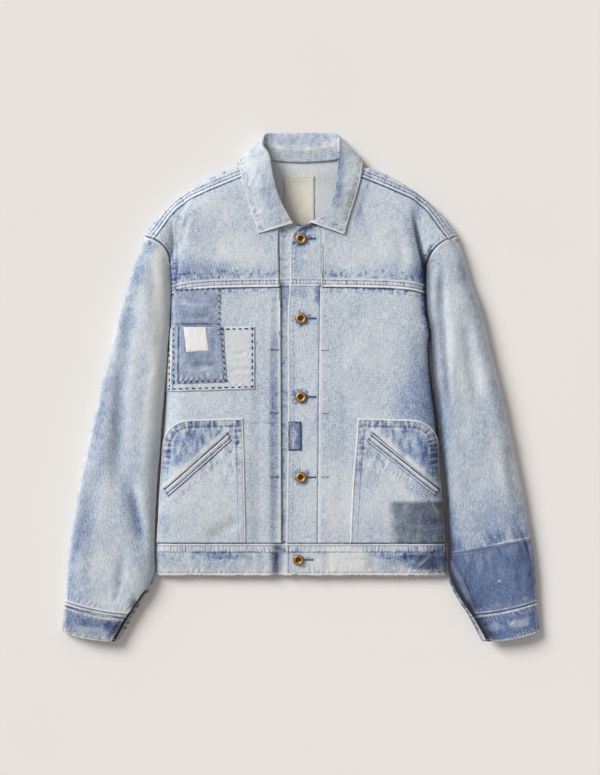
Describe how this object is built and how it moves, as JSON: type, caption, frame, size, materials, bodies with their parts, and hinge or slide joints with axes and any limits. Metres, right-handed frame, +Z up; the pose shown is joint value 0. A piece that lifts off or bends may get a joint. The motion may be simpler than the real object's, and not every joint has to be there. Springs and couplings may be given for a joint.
{
  "type": "denim jacket",
  "caption": "Patched, faded denim work jacket laid flat with its front up: collar, buttoned front, pleats, slanted pocket welts, waistband, long sleeves, sewn-on patches.",
  "frame": {"origin": "middle of the whole outline, on the surface that the back lies on", "axes": "+X to the wearer's left, +Y from the hem to the collar, +Z up from the surface, out of the front"},
  "size_m": [0.741, 0.788, 0.0348],
  "materials": {
    "faded_denim": "washed indigo denim, worn pale, matte",
    "mid_denim": "less faded indigo denim, matte",
    "dark_denim": "darker indigo denim, matte",
    "patch_cloth": "worn indigo cotton, matte",
    "label_cloth": "woven cotton tape, matte",
    "aged_brass": "worn, satin"
  },
  "bodies": {
    "root": {"back": "faded_denim", "button_1": "aged_brass", "button_2": "aged_brass", "button_3": "aged_brass", "button_4": "aged_brass", "button_5": "aged_brass", "button_stand": "mid_denim", "chest_label": "label_cloth", "collar": "faded_denim", "cuff_left": "dark_denim", "cuff_right": "faded_denim", "front_left": "faded_denim", "front_right": "faded_denim", "neck_label": "label_cloth", "patch_dark_lower": "patch_cloth", "patch_dark_upper": "patch_cloth", "patch_darned": "dark_denim", "patch_light": "patch_cloth", "placket": "faded_denim", "pocket_left": "faded_denim", "pocket_right": "faded_denim", "sleeve_left": "faded_denim", "sleeve_left_end": "dark_denim", "sleeve_right": "faded_denim", "waistband": "faded_denim", "welt_left": "mid_denim", "welt_right": "mid_denim", "yoke_left": "faded_denim", "yoke_right": "faded_denim"}
  },
  "joints": []
}
